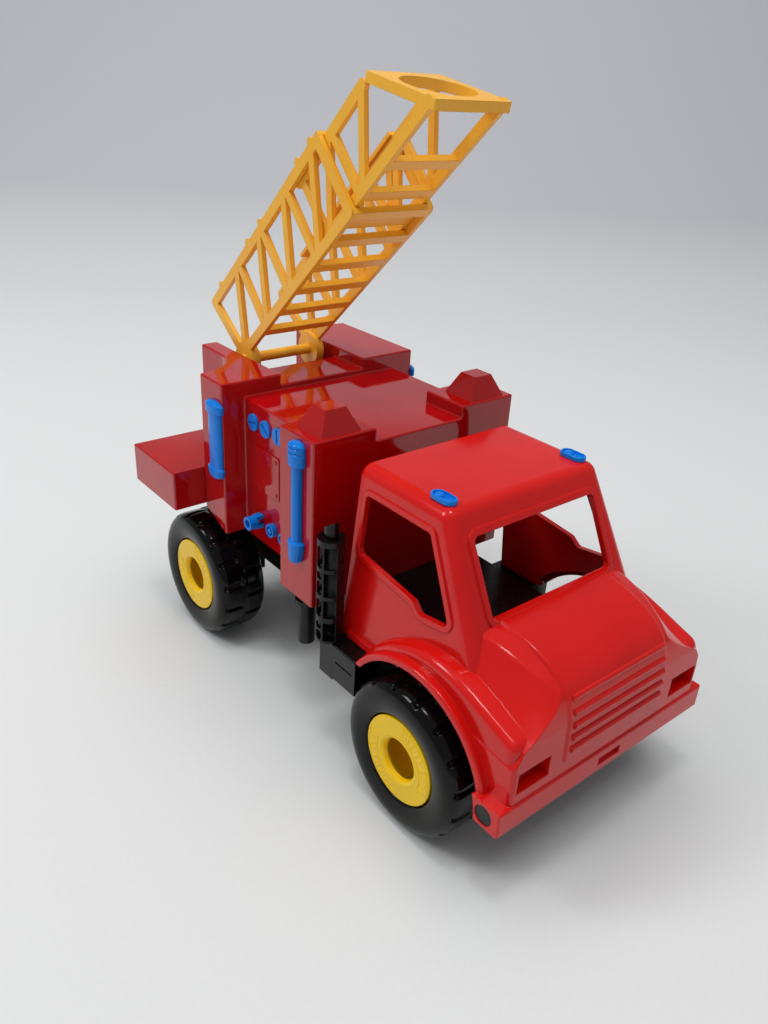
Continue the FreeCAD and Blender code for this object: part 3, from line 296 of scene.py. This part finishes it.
# The hub's cap. Its face stands 1.8 proud of the plain hub's, and 1.6 below the sidewall's bulge.
CAP_FACE = 88.3
CAP_R = 25.9
CAP_EDGE = 0.7
# radii and depths: where the face ends, the mouth's ellipse, and the dish's cone to its bottom
FACE_INNER = 15.5
MOUTH_R = 15.2
MOUTH_WIDTH = 2.9
MOUTH_DEPTH = 2.0
MOUTH_RISE = 0.2
DISH_TOP = (12.0, CAP_FACE - 2.3)
DISH_BOTTOM = (5.35, 69.75)
# the cap's unseen back, from the dish's bottom out to the rim: radii and ways across
CAP_BACK = [[5.45, 11.75, 13.4, CAP_R - 0.2, CAP_R], [69.7, 85.4, 86.6, 86.6, 86.8]]
# the relief on the face: two bands of ribs between two fine outlines
RELIEF = 0.36
RELIEF_START = math.radians(35)
RELIEF_HALF = np.radians([53, 55])
RIB_INNER = (18.9, 19.4)
RIB_OUTER = (22.5, 23.0)
OUTLINE_RADII = (24.2, 17.5)
OUTLINE_HALF = (0.15, 0.45)
HUB_ROUND = 420


def hub_grid():
    """The hub's cap as a closed thin loop turned round the axle: face, mouth and dish's lining.

    The face is flat out to a rounded rim, the mouth a quarter of an ellipse, and the lining a cone.
    Two opposite bands of low ribs of uneven width, 110 degrees long, rise from the face between
    fine outlines: each band is a soft slot in angle times a slot in radius, and the ribs are where
    the sum of two sines of the angle is above zero.
    """
    turn = np.linspace(0, TURN, HUB_ROUND, endpoint=False)[:, None]
    quarter = np.linspace(0, math.pi / 2, 12)
    rim = np.stack([CAP_R - CAP_EDGE + CAP_EDGE * np.cos(quarter),
                    CAP_FACE - CAP_EDGE + CAP_EDGE * np.sin(quarter)])
    flat = np.linspace(CAP_R - CAP_EDGE - 0.2, FACE_INNER, 48)
    face = np.stack([flat, np.full(flat.size, CAP_FACE)])
    mouth = np.stack([MOUTH_R - MOUTH_WIDTH * np.sin(quarter),
                      CAP_FACE + MOUTH_RISE - MOUTH_DEPTH * (1 - np.cos(quarter))])
    lining = np.linspace(DISH_TOP, DISH_BOTTOM, 20).T
    radius, across = np.concatenate([rim, face, mouth, lining, CAP_BACK], axis=1)
    opposite = np.abs((turn - RELIEF_START) % math.pi - math.pi / 2)
    band = 1 - smooth(*RELIEF_HALF, opposite)
    ribs = smooth(-0.1, 0.3, 0.6 * np.sin(46 * turn) + 0.6 * np.sin(29 * turn + 1.3))
    inside = smooth(*RIB_INNER, radius) * (1 - smooth(*RIB_OUTER, radius))
    outline = sum(1 - smooth(*OUTLINE_HALF, np.abs(radius - r)) for r in OUTLINE_RADII)
    on_face = across > CAP_FACE - 0.01
    across = across + on_face * RELIEF * band * (inside * ribs + outline)
    return turn, across, radius[None, :] + 0 * turn


def on_wheel(end_x, side, turn, across, radius):
    """Wheel grid to points in metres.

    A point is an angle from straight down, a way across from the truck's middle, and a radius.
    """
    x = AXLE[0] + end_x + radius * np.sin(turn)
    y = AXLE[1] + side * across + 0 * turn
    z = TYRE_R - radius * np.cos(turn)
    return np.stack([x, y, z], axis=-1) * MM


def wheels():
    """A smooth tyre in place of each CAD tyre, and a cap over each hub's face."""
    turn, across, radius, matt = tyre_grid()
    hub = hub_grid()
    for end, end_x in ENDS:
        for side_name, side in SIDES:
            wheel = f"{end}_{side_name}"
            points = on_wheel(end_x, side, turn, TYRE_MID + across, radius)
            tyre = surface(f"tyre_moulding_{wheel}", points, True, True)
            stored = tyre.data.attributes.new("matt", "FLOAT", "POINT")
            stored.data.foreach_set("value", matt.reshape(-1).astype(np.float32))
            tyre.data.materials.append(FINISHES["tyre"])
            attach(tyre, f"wheel_{wheel}")
            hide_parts(f"tyre_{wheel}")
            cap = surface(f"hub_cap_{wheel}", on_wheel(end_x, side, *hub), True, True)
            cap.data.materials.append(FINISHES["hub_plastic"])
            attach(cap, f"wheel_{wheel}")


wheels()


# ---- Roof lamps ----

# The left lamp's middle on the cab's roof. The lamps are shorter than the part's plain ones.
LAMP_AT = np.array([-21.6, 50.2, 182.05])
LAMP_LENGTH = 16.6
LAMP_WIDTH = 8.6
LAMP_RIM = 2.8
# the arch on top of the rim: its height, and its half as a share of the lamp's half width
ARCH_HEIGHT = 0.7
ARCH_HALF = 0.14
LAMP_ROUND = 160
# The dish inside the rim: each form's place along the lamp, its radius or spread, and its height
FLOOR_HEIGHT = 0.9
DOME_X, DOME_R, DOME_HEIGHT = -3.3, 3.0, 2.1
BEAD_X, BEAD_Y, BEAD_R, BEAD_HEIGHT = 0.9, 1.5, 0.7, 1.3
RIDGE_X, RIDGE_R, RIDGE_HALF, RIDGE_HEIGHT = 2.6, 2.7, 0.55, 1.3
PIT_X, PIT_R, PIT_DEPTH = 3.0, 1.2, 0.9


def lamp_relief(x, y):
    """A lamp's height inside its rim: a rear dome, two beads, a pit, and a crescent wall in front.

    The dome is a squashed ball, the beads and the pit are soft bumps, and the crescent is a ridge
    on half a ring.
    """
    ball = np.clip(1 - ((x - DOME_X) ** 2 + y ** 2) / DOME_R ** 2, 0, 1)
    beads = np.exp(-((x - BEAD_X) ** 2 + (np.abs(y) - BEAD_Y) ** 2) / BEAD_R ** 2)
    ring = np.hypot(x - RIDGE_X, y)
    ridge = np.exp(-((ring - RIDGE_R) / RIDGE_HALF) ** 2) * smooth(0.0, 1.4, x - RIDGE_X)
    pit = np.exp(-((x - PIT_X) ** 2 + y ** 2) / PIT_R ** 2)
    return (FLOOR_HEIGHT + DOME_HEIGHT * np.sqrt(ball) + BEAD_HEIGHT * beads
            + RIDGE_HEIGHT * ridge - PIT_DEPTH * pit)


def roof_lamps():
    """Two lamps, each a grid: rows run from under it over its rim to its middle, columns round it.

    A row is a stadium: a circle whose halves stand apart. The rim is an arch, and inside it the
    height is the relief, faded in over half a millimetre.
    """
    way = np.linspace(0, TURN, LAMP_ROUND, endpoint=False)[None, :]
    wall = np.linspace(0.05, LAMP_RIM - ARCH_HEIGHT, 8)
    over_rim = np.linspace(0.985, 0.72, 16)
    to_middle = np.linspace(0.70, 0.0, 36)
    scale = np.concatenate([[0.0, 0.97], np.ones(wall.size), over_rim, to_middle])[:, None]
    foot = np.concatenate([[0.0, 0.0], wall, np.zeros(over_rim.size + to_middle.size)])[:, None]
    half = LAMP_WIDTH / 2
    apart = (LAMP_LENGTH - LAMP_WIDTH) / 2
    x = scale * (half * np.cos(way) + apart * np.clip(4 * np.cos(way), -1, 1))
    y = scale * half * np.sin(way)
    from_crest = (scale - (1 - ARCH_HALF)) / ARCH_HALF
    arch = LAMP_RIM - ARCH_HEIGHT + ARCH_HEIGHT * np.sqrt(np.clip(1 - from_crest ** 2, 0, 1))
    inside = smooth(1 - ARCH_HALF, 0.74, scale)
    height = np.where(scale < 0.99, arch * (1 - inside) + lamp_relief(x, y) * inside, foot)
    height[:2] = 0.0
    for name, side in SIDES:
        points = np.stack([LAMP_AT[0] + x, side * (LAMP_AT[1] + y), LAMP_AT[2] + height], axis=-1)
        lamp_piece = surface(f"roof_lamp_{name}", (points + AXLE) * MM, closed_v=True)
        lamp_piece.data.materials.append(FINISHES["trim_plastic"])
        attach(lamp_piece, "cab")
        if side > 0:
            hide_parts("roof_lamps")


roof_lamps()


# ---- Handrails ----

# the blocks' half width, where the handrails' flats lie
WALL_Y = 78.2
# Place along the truck and ends, half widths and depths of bar and foot, the feet's height, the
# share by which the lower foot narrows, and whether the top foot has ledges
LONG_RAIL = dict(x=-110.7, low=111.0, top=189.0, bar=(3.8, 4.4), foot=(6.6, 5.8), foot_height=15.5,
                 taper=0.45, ledges=1)
SHORT_RAIL = dict(x=-205.4, low=129.0, top=183.0, bar=(7.4, 3.8), foot=(9.6, 4.8), foot_height=8.5,
                  taper=0.3, ledges=0)
FOOT_STEP = 1.2
LEDGE_DROPS = (3.4, 6.6)
LEDGE_HALF = 0.5
LEDGE_DEPTH = 0.9
END_ROUND = 3.2
# powers that square the D's shape a little, its width and its depth, and the depth at the ends
D_WIDTH_POWER = 0.8
D_DEPTH_POWER = 0.7
END_DEPTH_POWER = 0.6
RAIL_ROWS = 330
RAIL_ROUND = 30


def rail_grid(x, low, top, bar, foot, foot_height, taper, ledges):
    """A handrail as a grid: rows run up it, columns go round a D shape with its flat on the wall.

    Half width and depth are the bar's, and step softly up to the foot's at each end. The lower foot
    narrows downwards like a shield, both ends are rounded off by a quarter of an ellipse, and a
    long rail's top foot has two fine ledges.
    """
    z = np.concatenate([[low], np.linspace(low + 0.01, top - 0.01, RAIL_ROWS), [top]])[:, None]
    lower_top = low + foot_height
    upper = smooth(top - foot_height, top - foot_height + FOOT_STEP, z)
    lower = 1 - smooth(lower_top - FOOT_STEP, lower_top, z)
    width = bar[0] + (foot[0] - bar[0]) * np.maximum(upper, lower)
    depth = bar[1] + (foot[1] - bar[1]) * np.maximum(upper, lower)
    width = width * (1 - taper * lower * np.clip((lower_top - z) / foot_height, 0, 1) ** 1.5)
    groove = sum(np.exp(-((z - top + drop) / LEDGE_HALF) ** 2) for drop in LEDGE_DROPS)
    depth = depth - LEDGE_DEPTH * ledges * groove
    from_end = np.clip(np.minimum(z - low, top - z) / END_ROUND, 0, 1)
    ends = np.sqrt(np.clip(1 - (1 - from_end) ** 2, 0, 1))
    turn = np.linspace(0, math.pi, RAIL_ROUND)[None, :]
    round_x = np.sign(np.cos(turn)) * np.abs(np.cos(turn)) ** D_WIDTH_POWER
    round_y = np.sin(turn) ** D_DEPTH_POWER
    # the D's flat: two more columns inside the wall's face
    round_x = np.concatenate([round_x, [[-0.4, 0.4]]], axis=1)
    round_y = np.concatenate([round_y, [[-0.02, -0.02]]], axis=1)
    y = WALL_Y + depth * ends ** END_DEPTH_POWER * round_y
    return np.stack([x + width * ends * round_x, y, z + 0 * round_x], axis=-1)


def handrails():
    """A handrail in place of each plain one: long on the front blocks, short on the rear block."""
    for end, sizes in (("front", LONG_RAIL), ("rear", SHORT_RAIL)):
        grid = rail_grid(**sizes)
        for name, side in SIDES:
            points = (grid * np.array([1, side, 1]) + AXLE) * MM
            rail = surface(f"handrail_moulding_{end}_{name}", points, closed_v=True)
            rail.data.materials.append(FINISHES["trim_plastic"])
            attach(rail, "truck")
            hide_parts(f"handrail_{end}_{name}")


handrails()


# ---- Camera ----

# Fitted to the photograph's frame: place in millimetres from the front axle, angles in radians
CAMERA_AT = np.array([249.954, -320.424, 370.091])
YAW, PITCH, ROLL = 2.436613, -0.475990, 0.058195
FOCAL_PX = 842.183
PICTURE_HEIGHT_PX = 1024
SENSOR = 36


def camera():
    """Sets the camera: forward from yaw and pitch, right level, then both turned by the roll."""
    level = math.cos(PITCH)
    forward = Vector((math.cos(YAW) * level, math.sin(YAW) * level, math.sin(PITCH)))
    right = forward.cross(Vector((0, 0, 1))).normalized()
    up = right.cross(forward)
    turned_right = math.cos(ROLL) * right + math.sin(ROLL) * up
    turned_up = math.cos(ROLL) * up - math.sin(ROLL) * right
    lens = bpy.data.cameras.new("camera")
    lens.lens = FOCAL_PX / PICTURE_HEIGHT_PX * SENSOR
    lens.clip_start = 0.01
    made = bpy.data.objects.new("camera", lens)
    bpy.context.scene.collection.objects.link(made)
    axes = Matrix((turned_right, turned_up, -forward)).transposed().to_4x4()
    axes.translation = Vector((CAMERA_AT + AXLE) * MM)
    made.matrix_world = axes
    bpy.context.scene.camera = made


camera()


# ---- Studio, in metres ----

FLOOR_NEAR = -2.5
WALL_START = 1.1
WALL_RADIUS = 1.0
HALF_WIDTH = 3.5
# the card's painted shade: its grey grows up to this height
PAINTED_SHADE_HEIGHT = 0.12
SWEEP_ROWS = 24
SWEEP_COLUMNS = 12
CENTRE = (0.05, 0.0, 0.08)
# name, place, the point it faces, size, watts, and whether glossy surfaces show its shape
LAMPS = [
    ("ceiling panel", (0.0, 0.0, 2.3), (0.0, 0.0, 0.0), 2.4, 37, False),
    ("side panel", (-1.0, -1.6, 1.7), CENTRE, 1.2, 7, False),
    ("window softbox", (-1.1, -1.5, 1.9), CENTRE, 0.6, 12, True),
    ("ceiling light", (0.15, -0.25, 2.1), CENTRE, 0.3, 5, True),
]


def sweep():
    """A studio floor that curves up into a low wall: flat along u, and then a quarter circle."""
    flat = np.linspace(FLOOR_NEAR, WALL_START, SWEEP_ROWS)
    angle = np.linspace(0, math.pi / 2, SWEEP_ROWS)[1:]
    along = np.concatenate([flat, WALL_START + WALL_RADIUS * np.sin(angle)])
    height = np.concatenate([np.zeros(flat.size), WALL_RADIUS * (1 - np.cos(angle))])
    across = np.linspace(-HALF_WIDTH, HALF_WIDTH, SWEEP_COLUMNS)
    # away is the camera's own level direction, so the wall stands square behind the object
    away = np.array([math.cos(YAW), math.sin(YAW)])
    aside = np.array([-away[1], away[0]])
    level = along[:, None, None] * away + across[None, :, None] * aside
    up = np.broadcast_to(height[:, None, None], (*level.shape[:2], 1))
    made = surface("studio_sweep", np.concatenate([level, up], axis=-1), shell=False)
    return made


def card():
    """Pale grey card, matt: faint fibres, and painted shade that greys it as it climbs."""
    made, tree, shader, place = plain("Card, pale grey, matt", {"Roughness": 0.8})
    fibre = add(tree, "ShaderNodeTexNoise", {"Vector": place, "Scale": 1 / (3 * MM), "Detail": 3.0})
    tint = add(tree, "ShaderNodeMix",
               {0: fibre.outputs[0], 6: linear("#D8D9D9"), 7: linear("#DDDEDD")}, data_type="RGBA")
    # painted shade: the card turns greyer towards the top of the wall, where less light falls
    height = add(tree, "ShaderNodeSeparateXYZ", {"Vector": place}).outputs["Z"]
    painted_shade_share = add(tree, "ShaderNodeMapRange",
                {"Value": height, "From Min": 0.0, "From Max": PAINTED_SHADE_HEIGHT})
    painted_shade_colour = add(tree, "ShaderNodeMix",
                 {0: painted_shade_share.outputs[0], 6: tint.outputs[2], 7: linear("#C6C7CB")}, data_type="RGBA")
    tree.links.new(painted_shade_colour.outputs[2], shader.inputs["Base Color"])
    return made


def lamp(name, at, towards, size, watts, mirrored):
    """A square soft lamp that faces a point. Glossy surfaces show it only if it's mirrored."""
    light = bpy.data.lights.new(name, "AREA")
    light.size = size
    light.energy = watts
    made = bpy.data.objects.new(name, light)
    bpy.context.scene.collection.objects.link(made)
    made.location = at
    made.visible_glossy = mirrored
    made.rotation_euler = (Vector(towards) - Vector(at)).to_track_quat("-Z", "Y").to_euler()


def studio():
    """A pale card sweep under soft panels above and on the left, two mirrored lamps, a dim room."""
    sweep().data.materials.append(card())
    for values in LAMPS:
        lamp(*values)
    world = bpy.data.worlds.new("world")
    bpy.context.scene.world = world
    world.use_nodes = True
    tree = world.node_tree
    tree.nodes.clear()
    # the camera sees a pale wall past the card, and the object a dimmer room
    seen = add(tree, "ShaderNodeLightPath").outputs["Is Camera Ray"]
    shade = add(tree, "ShaderNodeMix", {0: seen, 6: linear("#8E9093"), 7: linear("#C4C5C8")},
                data_type="RGBA")
    room = add(tree, "ShaderNodeBackground", {"Color": shade.outputs[2], "Strength": 1.0})
    add(tree, "ShaderNodeOutputWorld", {"Surface": room.outputs[0]})


studio()
bpy.context.scene.view_settings.view_transform = "Standard"
